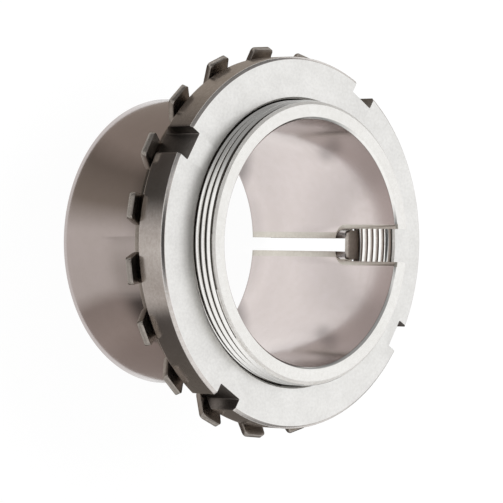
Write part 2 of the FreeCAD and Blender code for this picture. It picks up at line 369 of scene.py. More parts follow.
RIM_STEEL = Finish(
    name="turned_rim_steel", colour=(0.72, 0.685, 0.66), stain=(0.46, 0.41, 0.37), rough=(0.14, 0.26),
    mottle=0.9 * MM, mark=0.14 * MM, mark_depth=0.0010 * MM, pit_depth=0.002 * MM,
)
MOUTH_STEEL = Finish(
    name="scraped_mouth_steel", colour=(0.95, 0.935, 0.91), stain=(0.74, 0.71, 0.67),
    rough=(0.62, 0.76), mottle=0.8 * MM, stain_share=0.6, mark=0.3 * MM, pit_depth=0.006 * MM,
)
# Painted light: lighter than the washer's steel, to brighten the inner tab's face that lies in the nut's
# shade.
LIT_INNER_TAB_STEEL = Finish(
    name="lit_inner_tab_steel", colour=(0.66, 0.58, 0.52), stain=(0.42, 0.36, 0.31), rough=(0.62, 0.74),
    mottle=0.9 * MM, pit_depth=0.002 * MM,
)
# Painted shade: dark, for the shade in the nut's thread roots.
SHADED_GROOVE_STEEL = Finish(
    name="shaded_brown_groove_steel", colour=(0.36, 0.31, 0.275), stain=(0.24, 0.20, 0.17),
    rough=(0.30, 0.45), mottle=1.0 * MM,
)
# Painted shade: near black, for the shade deep in the sleeve's thread roots and at the inner edge of the
# nut's mouth.
SHADED_ROOT_STEEL = replace(
    SHADED_GROOVE_STEEL, name="shaded_root_steel", colour=(0.10, 0.09, 0.08), stain=(0.05, 0.045, 0.04)
)
# Painted shade: dark, for the shade on the walls and floors of the milled slots.
SHADED_SLOT_STEEL = Finish(
    name="shaded_milled_slot_steel", colour=(0.26, 0.24, 0.225), stain=(0.12, 0.11, 0.10), rough=(0.24, 0.40),
    mottle=1.2 * MM, stain_share=0.6, pit_depth=0.003 * MM,
)
FILED_STEEL = Finish(
    name="filed_edge_steel", colour=(0.54, 0.51, 0.46), stain=(0.40, 0.37, 0.32), rough=(0.26, 0.38),
    mottle=0.8 * MM, mark=0.3 * MM, pit_depth=0.002 * MM,
)


def ring(bm: Work, radius: float, height: float) -> list[bmesh.types.BMVert]:
    """Add one ring of points round the axis, the first of them on +X."""
    turn = 2.0 * math.pi / COLUMNS
    return [
        bm.verts.new((radius * math.cos(turn * step), radius * math.sin(turn * step), height))
        for step in range(COLUMNS)
    ]


def add_turned_skin(bm: Work, section: Sequence[Point2]) -> None:
    """Turn a line of a half section round the axis.

    Args:
        bm: The mesh.
        section: Radius and height of each point in order.
    """
    rings = [ring(bm, radius, height) for radius, height in section]
    for lower, upper in zip(rings, rings[1:]):
        for step in range(COLUMNS):
            after = (step + 1) % COLUMNS
            bm.faces.new((lower[step], lower[after], upper[after], upper[step]))


def rounded(corners: Sequence[Corner], steps: int = 3) -> list[Point2]:
    """Round the corners of an open line.

    Args:
        corners: Two coordinates and the cut-back of each corner; 0 leaves it sharp.
        steps: Stretches of each round.

    Returns:
        The points of the line.
    """
    line: list[Point2] = []
    for place, (across, up, back) in enumerate(corners):
        here = Vector((across, up))
        if back == 0.0 or place in (0, len(corners) - 1):
            line.append((across, up))
            continue
        before = here + (Vector(corners[place - 1][:2]) - here).normalized() * back
        after = here + (Vector(corners[place + 1][:2]) - here).normalized() * back
        for step in range(steps + 1):
            share = step / steps
            point = before * (1 - share) ** 2 + here * 2 * share * (1 - share) + after * share ** 2
            line.append((point.x, point.y))
    return line


def weld(bm: Work) -> None:
    """Join points that meet, drop faces without area and turn every face outwards.

    Args:
        bm: The mesh.
    """
    bmesh.ops.remove_doubles(bm, verts=bm.verts, dist=WELD)
    bmesh.ops.dissolve_degenerate(bm, dist=WELD, edges=bm.edges)
    bmesh.ops.recalc_face_normals(bm, faces=bm.faces)


def opened(mesh: Mesh) -> Work:
    """Take a copy of a mesh to work on."""
    bm = bmesh.new()
    bm.from_mesh(mesh)
    return bm


def open_edges(mesh: Mesh) -> int:
    """Count the edges that don't lie between exactly two faces."""
    bm = opened(mesh)
    count = sum(1 for edge in bm.edges if len(edge.link_faces) != 2)
    bm.free()
    return count


def new_object(name: str, data: bpy.types.ID) -> Object:
    """Put a mesh, a lamp or a camera into the scene at the origin."""
    made = bpy.data.objects.new(name, data)
    bpy.context.scene.collection.objects.link(made)
    return made


def object_from(bm: Work, name: str) -> Object:
    """Make an object of a mesh in work, and free the latter."""
    mesh = bpy.data.meshes.new(name)
    bm.to_mesh(mesh)
    bm.free()
    return new_object(name, mesh)


def turned_blank(name: str, skin: Mesh, corners: Sequence[Corner]) -> Object:
    """Close a thread's skin with the turned faces of a half section.

    Args:
        name: Name of the blank.
        skin: The skin.
        corners: Radius, height and cut-back of each corner of the section.

    Returns:
        A closed ring of metal.
    """
    bm = opened(skin)
    add_turned_skin(bm, rounded(corners))
    weld(bm)
    return object_from(bm, name)


def evaluated(made: Object) -> Mesh:
    """Take an object's mesh as its modifiers leave it."""
    graph = bpy.context.evaluated_depsgraph_get()
    return bpy.data.meshes.new_from_object(made.evaluated_get(graph), depsgraph=graph)


def lofted(name: str, layers: Sequence[tuple[float, Sequence[Point2]]], turn: Matrix) -> Object:
    """Make a cutter through closed outlines of as many points each.

    Args:
        name: Name of the cutter.
        layers: Height and outline of each layer, in rising order.
        turn: From the outlines' own axes to the frame.

    Returns:
        The cutter.
    """
    bm = bmesh.new()
    rings = [[bm.verts.new(turn @ Vector((x, y, height))) for x, y in line] for height, line in layers]
    bm.faces.new(rings[0])
    bm.faces.new(rings[-1][::-1])
    for lower, upper in zip(rings, rings[1:]):
        for place in range(len(lower)):
            after = (place + 1) % len(lower)
            bm.faces.new((lower[place], lower[after], upper[after], upper[place]))
    bmesh.ops.recalc_face_normals(bm, faces=bm.faces)
    return object_from(bm, name)


def prism(name: str, outline: Sequence[Point2], low: float, high: float, turn: Matrix) -> Object:
    """Make a straight cutter of one closed outline between two heights."""
    return lofted(name, ((low, outline), (high, outline)), turn)


def cut_out(body: Object, tools: Iterable[Object]) -> None:
    """Cut tools out of a body, and remove them.

    Args:
        body: The solid that stays.
        tools: The other solids.
    """
    for tool in tools:
        step = body.modifiers.new("cut", "BOOLEAN")
        step.operation = "DIFFERENCE"
        step.solver = "MANIFOLD"
        step.object = tool
        before, mesh = body.data, evaluated(body)
        body.modifiers.clear()
        body.data = mesh
        bpy.data.meshes.remove(before)
        bpy.data.objects.remove(tool)


def ease_edges(body: Object, chosen: Callable[[Edge], bool], width: float) -> None:
    """Round the sharp outer edges that a test picks.

    Args:
        body: The object.
        chosen: The test.
        width: How far each edge is cut back.
    """
    bm = opened(body.data)
    weld(bm)
    edges = [
        edge
        for edge in bm.edges
        if len(edge.link_faces) == 2 and edge.calc_face_angle_signed() > SHARP_FROM and chosen(edge)
    ]
    bmesh.ops.bevel(
        bm, geom=edges, offset=width, offset_type="OFFSET", segments=2, profile=0.5, affect="EDGES",
        clamp_overlap=True,
    )
    weld(bm)
    bm.to_mesh(body.data)
    bm.free()


def dress(
    body: Object,
    finishes: Mapping[IntEnum, Material],
    zone: Callable[[Face], IntEnum],
) -> None:
    """Give each face of a body the finish of its zone, and shade the body smooth.

    Args:
        body: The object.
        finishes: The finish of each zone.
        zone: Tells a face's zone.
    """
    body.data.materials.clear()
    for place in sorted(finishes):
        body.data.materials.append(finishes[place])
    for face in body.data.polygons:
        face.material_index = zone(face)
    body.data.shade_smooth()
    body.data.set_sharp_from_angle(angle=SMOOTH_TO)


class Tree:
    """A tree of geometry nodes with named inputs."""

    def __init__(self, name: str) -> None:
        """Start the tree with its input and output nodes.

        Args:
            name: Name of the tree.
        """
        self.group = bpy.data.node_groups.new(name, "GeometryNodeTree")
        self.board = Board(self.group)
        self.group.interface.new_socket("Geometry", in_out="OUTPUT", socket_type="NodeSocketGeometry")
        self.source = self.board.add("NodeGroupInput")

    def named(self, name: str, kind: str = "Float") -> Wire:
        """Add a named input of one kind: Float, Int, Object or Material."""
        self.group.interface.new_socket(name, in_out="INPUT", socket_type=f"NodeSocket{kind}")
        return self.board.wire(self.source, name)

    def close(self, geometry: Wire, gap: Value, material: Wire) -> None:
        """End the tree with real and welded geometry of one finish.

        Args:
            geometry: What the tree makes.
            gap: Points nearer than this are welded.
            material: Its finish.
        """
        real = self.board.take("GeometryNodeRealizeInstances", {0: geometry})
        merged = self.board.take("GeometryNodeMergeByDistance", {"Geometry": real, "Distance": gap})
        last = self.board.take("GeometryNodeRealizeInstances", {0: merged})
        dressed = self.board.take("GeometryNodeSetMaterial", {"Geometry": last, "Material": material})
        self.board.add("NodeGroupOutput", None, {0: dressed})

    def run(self, name: str, values: Mapping[str, Any]) -> Mesh:
        """Make the tree's geometry as a plain mesh.

        Args:
            name: Name of the mesh.
            values: A value for each named input.

        Returns:
            The mesh.
        """
        carrier = new_object(name, bpy.data.meshes.new(name))
        step = carrier.modifiers.new(name, "NODES")
        step.node_group = self.group
        for item in self.group.interface.items_tree:
            if item.in_out == "INPUT":
                step[item.identifier] = values[item.name]
        carrier.update_tag()
        mesh = evaluated(carrier)
        bpy.data.objects.remove(carrier)
        mesh.name = name
        return mesh


@dataclass(frozen=True)
class Thread:
    """A right-hand metric thread whose helix passes the same places on both pieces."""

    pitch: float = 2.0 * MM  # rise in one turn
    depth: float = 1.0825 * MM  # depth between crest and root
    rows: int = 16  # rows of points in one pitch
    crest_half: int = 1  # half the outer crest's width, in rows
    root_half: int = 2  # half the outer root's width, in rows

    def tree(self) -> Tree:
        """Build the rule for a threaded skin.

        A grid is wrapped round the axis along the helix. Its rows follow crests and flanks, and past
        either end of the piece they close up on the end's own edge.

        Returns:
            The tree of geometry nodes.
        """
        tree = Tree("thread_skin")
        board = tree.board
        crest, side, back, front = (tree.named(n) for n in ("Crest radius", "Side", "Back", "Front"))
        back_cone, back_slope = tree.named("Back cone"), tree.named("Back slope")
        front_cone, front_slope = tree.named("Front cone"), tree.named("Front slope")
        origin, fade, rows = tree.named("Origin"), tree.named("Fade"), tree.named("Rows", "Int")
        sides = {"Size X": 1.0, "Size Y": 1.0, "Vertices X": COLUMNS + 1, "Vertices Y": rows}
        grid = board.take("GeometryNodeMeshGrid", sides, "Mesh")
        across, up, _ = board.parts(board.take("GeometryNodeInputPosition"))
        turns = across + 0.5
        row = ((up + 0.5) * (rows - 1.0)).math("ROUND")
        raw = origin + (row / float(self.rows) + turns) * self.pitch
        height = raw.math("MAXIMUM", back).math("MINIMUM", front)
        phase = (row / float(self.rows)).math("FRACT")
        near = abs(phase - 0.5) * float(self.rows)
        top = float(self.rows / 2 - self.crest_half)
        share = ((top - near) / (top - self.root_half)).clamped()
        inside = (1.0 - side) * 0.5
        groove = abs(inside - share) * self.depth * ((height - back) / fade).clamped()
        lead_back = (back + back_cone - height) * back_slope
        lead_front = (height - front + front_cone) * front_slope
        cut = groove.math("MAXIMUM", lead_back).math("MAXIMUM", lead_front)
        radius = crest - side * cut
        angle = turns * (2.0 * math.pi)
        place = board.vector(radius * angle.math("COSINE"), radius * angle.math("SINE"), height)
        moved = board.take("GeometryNodeSetPosition", {"Geometry": grid, "Position": place})
        tree.close(moved, WELD, tree.named("Material", "Material"))
        return tree

    def skin(
        self,
        side: Side,
        crest: float,
        ends: Point2,
        cones: tuple[Point2, Point2],
        fade: float,
        finish: Material,
    ) -> Mesh:
        """Make a threaded skin.

        Args:
            side: Outside or inside.
            crest: Radius of its crests.
            ends: Height of its back and its front.
            cones: Length and depth of the cone at the back, and of the one at the front.
            fade: Length in which the thread runs out at the back.
            finish: Its finish.

        Returns:
            An open mesh.
        """
        (back, front), (back_cone, front_cone) = ends, cones
        origin = self.pitch * (math.floor(back / self.pitch + 1e-6) - 1)
        rows = math.ceil((front - origin) / self.pitch * self.rows) + 1
        return self.tree().run("thread", {
            "Crest radius": crest,
            "Side": float(side.value),
            "Back": back,
            "Front": front,
            "Back cone": back_cone[0],
            "Back slope": back_cone[1] / back_cone[0],
            "Front cone": front_cone[0],
            "Front slope": front_cone[1] / front_cone[0],
            "Origin": origin,
            "Fade": fade,
            "Rows": rows,
            "Material": finish,
        })


class Piece:
    """A piece that is made blank, cut, eased and dressed. A subclass gives its own steps."""

    ease: float

    def blank(self, finish: Material) -> Object:
        """Make the closed body before it is cut, all in one finish."""
        raise NotImplementedError

    def cutters(self) -> list[Object]:
        """Make what is cut out of it, here nothing."""
        return []

    def is_eased(self, edge: Edge) -> bool:
        """Tell an edge that is rounded, here every sharp one."""
        return True

    def zone(self, face: Face) -> IntEnum:
        """Tell a face's zone."""
        raise NotImplementedError

    def build(self, finishes: Mapping[IntEnum, Material]) -> Object:
        """Build and dress the piece.

        Args:
            finishes: The finish of each zone, the main one first.

        Returns:
            The piece.
        """
        body = self.blank(next(iter(finishes.values())))
        cut_out(body, self.cutters())
        ease_edges(body, self.is_eased, self.ease)
        dress(body, finishes, self.zone)
        return body


@dataclass
class Sleeve(Piece):
    """The split taper sleeve: plain taper seat, threaded nose, slit, and keyway in the thread."""

    bore_r: float = 32.5 * MM  # bore
    thread_r: float = 37.5 * MM  # crests of the thread
    large_r: float = 38.896 * MM  # large end of the seat
    seat_length: float = 33.5 * MM  # length of the seat
    length: float = 55.0 * MM  # whole length
    edge: float = 0.4 * MM  # round of the plain edges
    nose: float = 1.2 * MM  # lead-in of the thread
    mouth: float = 0.6 * MM  # edge break of the bore at the nose
    slit_half: float = 1.8 * MM  # half the slit
    slit_bevel: float = 1.6 * MM  # bevel beside the slit
    key_half: float = 4.45 * MM  # half the keyway
    key_bevel: float = 1.1 * MM  # bevel beside the keyway
    bevel_depth: float = 0.45 * MM  # depth of both bevels
    key_end: float = 36.05 * MM  # centre of the keyway's round end
    run_out: float = 1.4 * MM  # length in which the thread runs out at the seat
    plain_round: float = 0.1 * MM  # rounding of the plain edges
    ease: float = 0.12 * MM  # rounding of the bore's edges at the nose and of the cut edges
    # How far below the crests the roots' painted shade begins and ends.
    root_band: Point2 = (1.1 * MM, 0.7 * MM)
    # How bevels, the lead-in at least and the roots' painted shade at least face the axis (-1) or away from
    # it (1).
    bevel_facing: Point2 = (-0.99, -0.3)
    lead_facing: float = 0.3
    root_facing: float = 0.2
    nose_depth: float = 0.05 * MM  # how deep the nose's finish reaches
    sharp_below: float = 0.3 * MM  # how far below the thread its edges stay sharp
    sharp_outside: float = 1.5 * MM  # how far outside the bore they begin to
    bore_depth: float = 0.5 * MM  # how deep the bore's finish reaches under the thread
    thread: Thread = field(default_factory=Thread)

    def blank(self, finish: Material) -> Object:
        """Turn the threaded blank.

        Args:
            finish: Its finish.

        Returns:
            A closed ring of metal.
        """
        ends = (self.seat_length, self.length)
        cones = ((self.nose, 0.0), (self.nose, self.nose))
        skin = self.thread.skin(Side.OUTSIDE, self.thread_r, ends, cones, self.run_out, finish)
        return turned_blank("turned_sleeve", skin, (
            (self.thread_r - self.nose, self.length, 0.0),
            (self.bore_r + self.mouth, self.length, self.ease),
            (self.bore_r, self.length - self.mouth, self.ease),
            (self.bore_r, self.edge, self.plain_round),
            (self.bore_r + self.edge, 0.0, self.plain_round),
            (self.large_r - self.edge, 0.0, self.plain_round),
            (self.large_r, self.edge, self.plain_round),
            (self.thread_r, self.seat_length, 0.0),
        ))

    def cutters(self) -> list[Object]:
        """Make the cutters of the slit and the keyway, each with a bevelled mouth in the bore.

        Returns:
            The slit's and the keyway's.
        """
        outside = self.large_r + PAST
        slit_mouth, key_mouth = self.slit_half + self.slit_bevel, self.key_half + self.key_bevel
        slit_x, key_x = (math.sqrt(self.bore_r ** 2 - half ** 2) for half in (slit_mouth, key_mouth))
        side = [
            (slit_x - PAST, slit_mouth),
            (slit_x, slit_mouth),
            (slit_x + self.bevel_depth, self.slit_half),
            (outside, self.slit_half),
        ]
        slit = [(x, -y) for x, y in side] + side[::-1]
        wide, narrow = self.keyway_outline(key_mouth), self.keyway_outline(self.key_half)
        keyway = (
            (key_x - PAST, wide), (key_x, wide), (key_x + self.bevel_depth, narrow), (outside, narrow)
        )
        outwards = Matrix(((0, 0, 1, 0), (1, 0, 0, 0), (0, 1, 0, 0), (0, 0, 0, 1)))
        return [
            prism("slit", slit, -PAST, self.length + PAST, Matrix.Identity(4)),
            lofted("keyway", keyway, outwards),
        ]

    def keyway_outline(self, half: float) -> list[Point2]:
        """Draw the keyway as seen from the axis, open at the nose and round at its end.

        Args:
            half: Half its width.

        Returns:
            Its outline, across and up.
        """
        steps = 32
        turns = [math.pi * step / steps for step in range(steps + 1)]
        arc = [(-half * math.cos(turn), self.key_end - half * math.sin(turn)) for turn in turns]
        top = self.length + PAST
        return [*arc, (half, top), (-half, top)]

    def is_eased(self, edge: Edge) -> bool:
        """Tell an edge of the slit or keyway that lies off the thread."""
        for point in (vertex.co for vertex in edge.verts):
            below = min(0.0, point.z - self.key_end)
            off_slit = abs(abs(point.y) - self.slit_half)
            off_keyway = abs(math.hypot(point.y, below) - self.key_half)
            high = point.z > self.seat_length - self.sharp_below
            threaded = high and point.xy.length > self.bore_r + self.sharp_outside
            if min(off_slit, off_keyway) > CLEAR or threaded or point.x < 0:
                return False
        return True

    def zone(self, face: Face) -> SleeveZone:
        """Tell a face's zone by where it lies and whether it faces the axis (-1) or away from it (1)."""
        spot, radius = face.center, face.center.xy.length
        facing = face.normal.xy.dot(spot.xy) / radius
        low, high = self.bevel_facing
        if spot.x > 0 and abs(spot.y) < self.key_half + self.key_bevel and low < facing < high:
            return SleeveZone.FILED
        if spot.z > self.length - self.nose_depth and face.normal.z > LEVEL:
            return SleeveZone.NOSE
        in_lead = spot.z > self.length - self.nose and radius > self.thread_r - self.nose
        if in_lead and facing > self.lead_facing:
            return SleeveZone.LEAD_IN
        # Roots that face outwards get painted shade, the near black finish.
        deep, shallow = self.root_band
        if spot.z > self.seat_length and self.thread_r - deep < radius < self.thread_r - shallow:
            root = facing > self.root_facing and spot.z < self.length - self.nose
            return SleeveZone.ROOT if root else SleeveZone.THREAD
        outside = radius > self.bore_r + self.bore_depth and spot.z > self.seat_length
        threaded = outside or spot.z > self.length - self.mouth
        return SleeveZone.THREAD if threaded else SleeveZone.GROUND


@dataclass
class Washer(Piece):
    """The lock washer: a ring of sheet with bent tabs outside and one straight tab inside."""

    bore_r: float = 37.75 * MM  # bore of the ring
    ring_r: float = 45.0 * MM  # outside of the ring
    tip_x: float = 51.86 * MM  # where the tabs' back edge ends
    back: float = 34.4 * MM  # height of its back face
    thickness: float = 1.5 * MM  # the sheet
    count: int = 19  # bent tabs
    root_half: float = 4.0 * MM  # half a bent tab at its root
    tip_half: float = 3.5 * MM  # half a bent tab at its end
    corner: float = 1.0 * MM  # rounding of a bent tab's end
    bend: float = math.radians(31)  # angle of the bent tabs
    bend_r: float = 1.0 * MM  # inside radius of the bend
    inner_half: float = 4.0 * MM  # half the inner tab
    inner_tip: float = 34.0 * MM  # where the inner tab ends
    inner_corner: float = 0.8 * MM  # rounding of the inner tab's end
    ease: float = 0.16 * MM  # rounding of the sheet's edges
    tab_level: float = 0.9  # how much the inner tab's face with painted light faces the nut at least

    def stations(self) -> list[tuple[float, float, float, float]]:
        """List the tab's cross lines from root to end.

        Returns:
            For each, x and height on the back of the sheet, and the same on its front.
        """
        outer_r = self.bend_r + self.thickness
        lines = []
        steps = 6
        for step in range(1, steps + 1):
            turn = self.bend * step / steps
            rise = 1 - math.cos(turn)
            lines.append((
                self.ring_r + outer_r * math.sin(turn),
                self.back + outer_r * rise,
                self.ring_r + self.bend_r * math.sin(turn),
                self.back + self.thickness + self.bend_r * rise,
            ))
        last = lines[-1]
        along = (math.cos(self.bend), math.sin(self.bend))
        whole = (self.tip_x - last[0]) / along[0]
        for left in self.corner_steps(self.corner):
            run = whole - left
            shift = (run * along[0], run * along[1])
            lines.append((last[0] + shift[0], last[1] + shift[1], last[2] + shift[0], last[3] + shift[1]))
        return lines

    def corner_steps(self, corner: float) -> list[float]:
        """List how far before a tab's end its rounded stretch has its cross lines."""
        steps = 4
        return [corner * (1 - math.sin(math.pi / 2 * step / steps)) for step in range(steps + 1)]

    def sector(self, keyed: bool) -> Object:
        """Build one tab with its share of the ring.

        Args:
            keyed: Whether it carries the inner tab too.

        Returns:
            A shell that is open only at its two cut sides.
        """
        half_turn = math.pi / self.count
        shares = (-1.0, -0.6, -0.2, 0.2, 0.6, 1.0)
        first, last = 2, len(shares) + 1
        bm = bmesh.new()
        rows = []
        steps = 3
        for step in range(steps + 1):
            radius = self.bore_r + (self.ring_r - self.bore_r) * step / steps
            rows.append(self.flat_row(bm, self.ring_row(radius, half_turn, shares)))
        self.cover(bm, rows)
        inner, outer = rows[0], rows[-1]
        self.strip(bm, [outer[first:last + 1]] + self.tab_rows(bm, shares))
        self.close_edge(bm, outer[:first + 1], outer[last:])
        if keyed:
            self.strip(bm, [inner[first:last + 1]] + self.key_rows(bm, shares))
            self.close_edge(bm, inner[:first + 1], inner[last:])
        else:
            self.close_edge(bm, inner)
        return object_from(bm, "keyed_tab" if keyed else "tab")

    def ring_row(self, radius: float, half_turn: float, shares: Sequence[float]) -> list[Point2]:
        """Place one row of points across a sector of the ring.

        Args:
            radius: Radius of the row.
            half_turn: Half the sector.
            shares: Places across the tab, from -1 to 1.

        Returns:
            The points.
        """
        edge = math.asin(self.root_half / radius)
        middle = [math.asin(self.root_half * share / radius) for share in shares]
        turns = [-half_turn, -(half_turn + edge) / 2, *middle, (half_turn + edge) / 2, half_turn]
        return [(radius * math.cos(turn), radius * math.sin(turn)) for turn in turns]

    def flat_row(self, bm: Work, line: Iterable[Point2]) -> list[tuple]:
        """Add the back and front points of a line across the flat sheet."""
        front = self.back + self.thickness
        return [(bm.verts.new((x, y, self.back)), bm.verts.new((x, y, front))) for x, y in line]

    def tab_rows(self, bm: Work, shares: Sequence[float]) -> list[list[tuple]]:
        """Add the points of the bent tab.

        Args:
            bm: The mesh.
            shares: Places across the tab.

        Returns:
            Rows of pairs of points, from the bend to the end.
        """
        rows = []
        stations = self.stations()
        bent = len(stations) - len(self.corner_steps(self.corner))
        for place, (back_x, back_z, front_x, front_z) in enumerate(stations):
            share = (back_x - self.ring_r) / (self.tip_x - self.ring_r)
            half = self.root_half + (self.tip_half - self.root_half) * share
            left = self.corner_steps(self.corner)[place - bent] if place >= bent else self.corner
            half -= self.corner - math.sqrt(self.corner ** 2 - (self.corner - left) ** 2)
            flatness = min(1.0, (place + 1) / bent)
            row = []
            for across in shares:
                y = half * across
                sag = (self.ring_r - math.sqrt(self.ring_r ** 2 - y ** 2)) * (1 - flatness)
                row.append((
                    bm.verts.new((back_x - sag, y, back_z)),
                    bm.verts.new((front_x - sag, y, front_z)),
                ))
            rows.append(row)
        return rows

    def key_rows(self, bm: Work, shares: Sequence[float]) -> list[list[tuple]]:
        """Add the points of the straight inner tab.

        Args:
            bm: The mesh.
            shares: Places across the tab.

        Returns:
            Rows of pairs of points, from the bore to the end.
        """
        rows = []
        corner = self.inner_corner
        for left in self.corner_steps(corner):
            half = self.inner_half - (corner - math.sqrt(corner ** 2 - (corner - left) ** 2))
            rows.append(self.flat_row(bm, [(self.inner_tip + left, half * share) for share in shares]))
        return rows

    def cover(self, bm: Work, rows: Sequence[Sequence[tuple]]) -> None:
        """Cover the back and the front between rows."""
        for lower, upper in zip(rows, rows[1:]):
            for place in range(len(lower) - 1):
                for side in (0, 1):
                    corners = (lower[place], lower[place + 1], upper[place + 1], upper[place])
                    bm.faces.new([pair[side] for pair in corners])

    def close_edge(self, bm: Work, *rows: Sequence[tuple]) -> None:
        """Close the sheet's edge along rows."""
        for row in rows:
            for here, there in zip(row, row[1:]):
                bm.faces.new((here[0], there[0], there[1], here[1]))

    def strip(self, bm: Work, rows: Sequence[Sequence[tuple]]) -> None:
        """Cover a tab and close its sides and its end."""
        self.cover(bm, rows)
        self.close_edge(bm, [row[0] for row in rows], [row[-1] for row in rows], rows[-1])

    def ring_tree(self) -> Tree:
        """Build the rule that sets the tabs round the axis.

        Returns:
            The tree of geometry nodes.
        """
        tree = Tree("tab_ring")
        board = tree.board
        tab, keyed = (
            board.take("GeometryNodeObjectInfo", {"Object": tree.named(name, "Object")}, "Geometry")
            for name in ("Tab", "Keyed tab")
        )
        count, gap = tree.named("Count", "Int"), tree.named("Weld")
        index = board.take("GeometryNodeInputIndex")
        turn = {"Axis": (0.0, 0.0, 1.0), "Angle": index * (2.0 * math.pi) / count}
        placed = board.take("GeometryNodeInstanceOnPoints", {
            "Points": board.take("GeometryNodePoints", {"Count": count}),
            "Selection": index.math("GREATER_THAN", 0.5),
            "Instance": tab,
            "Rotation": board.take("FunctionNodeAxisAngleToRotation", turn),
        })
        both = board.add("GeometryNodeJoinGeometry")
        for part in (placed, keyed):
            board.tree.links.new(part.socket, both.inputs[0])
        tree.close(board.wire(both), gap, tree.named("Material", "Material"))
        return tree

    def zone(self, face: Face) -> WasherZone:
        """Tell the inner tab's face, which gets painted light, from the rest."""
        on_tab = face.center.xy.length < self.bore_r and face.normal.z > self.tab_level
        return WasherZone.INNER_TAB if on_tab else WasherZone.SHEET

    def blank(self, finish: Material) -> Object:
        """Set the tabs round the axis and join them.

        Args:
            finish: The sheet's finish.

        Returns:
            A closed piece of sheet.
        """
        parts = [self.sector(False), self.sector(True)]
        bm = opened(self.ring_tree().run("bent_washer", {
            "Tab": parts[0],
            "Keyed tab": parts[1],
            "Count": self.count,
            "Weld": WELD,
            "Material": finish,
        }))
        for part in parts:
            bpy.data.objects.remove(part)
        weld(bm)
        return object_from(bm, "bent_washer")


@dataclass
class Nut(Piece):
    """The lock nut: a threaded ring with spanner slots and a long chamfer at its back."""

    outside_r: float = 49.0 * MM  # its outside
    front: float = 48.9 * MM  # height of its front face
    back: float = 35.9 * MM  # height of its back face
    face_chamfer: float = 0.7 * MM  # edge of the front face
    back_r: float = 45.0 * MM  # its bearing face
    back_chamfer: float = 4.3 * MM  # length of the back chamfer
    mouth_r: float = 38.4 * MM  # countersink in the front face
    mouth_depth: float = 0.8 * MM  # depth of the countersink, to the thread's roots
    root_r: float = 37.6 * MM  # roots of its thread
    back_mouth: float = 0.7 * MM  # edge break of the thread at the back
    slots: int = 4  # spanner slots
    slot_half: float = 4.0 * MM  # half a slot
    slot_floor: float = 45.5 * MM  # where the slots' floors lie
    slot_turn: float = math.radians(58.6)  # turn of the first slot from +X
    slot_corner: float = 0.35 * MM  # rounding of the slots' floor corners
    run_out: float = 1e-9  # length in which the thread runs out at its back, next to none
    # Rounding of the outer edges, from the back face to the front face.
    rounds: tuple[float, float, float, float] = (0.2 * MM, 0.25 * MM, 0.15 * MM, 0.15 * MM)
    ease: float = 0.14 * MM  # rounding of the slots' edges
    root_band: Point2 = (0.4 * MM, 0.1 * MM)  # how far inside and outside the roots their painted shade ends
    edge_band: float = 0.3 * MM  # how far outside the roots the mouth's dark edge, a painted shadow, ends
    thread: Thread = field(default_factory=Thread)

    def blank(self, finish: Material) -> Object:
        """Turn the threaded blank.

        Args:
            finish: Its finish.

        Returns:
            A closed ring of metal.
        """
        crest = self.root_r - self.thread.depth
        mouth = self.mouth_r - crest
        mouth_length = self.mouth_depth * mouth / (self.mouth_r - self.root_r)
        behind = self.root_r + self.back_mouth - crest
        ends = (self.back, self.front)
        cones = ((behind, behind), (mouth_length, mouth))
        skin = self.thread.skin(Side.INSIDE, crest, ends, cones, self.run_out, finish)
        edges = (
            (self.back_r, self.back),
            (self.outside_r, self.back + self.back_chamfer),
            (self.outside_r, self.front - self.face_chamfer),
            (self.outside_r - self.face_chamfer, self.front),
        )
        return turned_blank("slotted_nut", skin, (
            (crest + behind, self.back, 0.0),
            *((*edge, cut_back) for edge, cut_back in zip(edges, self.rounds)),
            (self.mouth_r, self.front, 0.0),
        ))

    def cutters(self) -> list[Object]:
        """Make the cutters of the spanner slots.

        Returns:
            One for each slot, in turn.
        """
        far, floor, half, corner = self.outside_r + PAST, self.slot_floor, self.slot_half, self.slot_corner
        line = rounded(((far, -half, 0), (floor, -half, corner), (floor, half, corner), (far, half, 0)))
        turns = [self.slot_turn + 2 * math.pi * place / self.slots for place in range(self.slots)]
        return [
            prism("slot", line, self.back - PAST, self.front + PAST, Matrix.Rotation(turn, 4, "Z"))
            for turn in turns
        ]

    def is_eased(self, edge: Edge) -> bool:
        """Tell an edge that lies on a wall or the floor of a slot."""
        for point in (vertex.co for vertex in edge.verts):
            across, out = self.slot_place(point)
            on_wall = abs(across - self.slot_half) < CLEAR and out > self.slot_floor - CLEAR
            on_floor = out < self.slot_floor + self.slot_corner + CLEAR and out > self.slot_floor - CLEAR
            if not on_wall and not (on_floor and across < self.slot_half + CLEAR):
                return False
        return True

    def zone(self, face: Face) -> NutZone:
        """Tell a face's zone by where it lies."""
        across, out = self.slot_place(face.center)
        if across < self.slot_half + CLEAR and out > self.slot_floor - CLEAR:
            return NutZone.SLOT
        radius = face.center.xy.length
        if face.center.z > self.front - self.mouth_depth and radius < self.mouth_r:
            # The mouth's inner edge takes the roots' near black finish, a painted shadow.
            return NutZone.MOUTH if radius > self.root_r + self.edge_band else NutZone.MOUTH_EDGE
        inside, outside = self.root_band
        if radius < self.root_r + outside:
            return NutZone.ROOT if radius > self.root_r - inside else NutZone.THREAD
        return NutZone.RIM if abs(face.normal.z) < LEVEL else NutZone.FACE

    def slot_place(self, point: Vector) -> Point2:
        """Give a point's place in the slot next to it: across it and out from the axis."""
        step = 2 * math.pi / self.slots
        turn = math.atan2(point.y, point.x) - self.slot_turn
        turn -= step * round(turn / step)
        radius = point.xy.length
        return abs(radius * math.sin(turn)), radius * math.cos(turn)


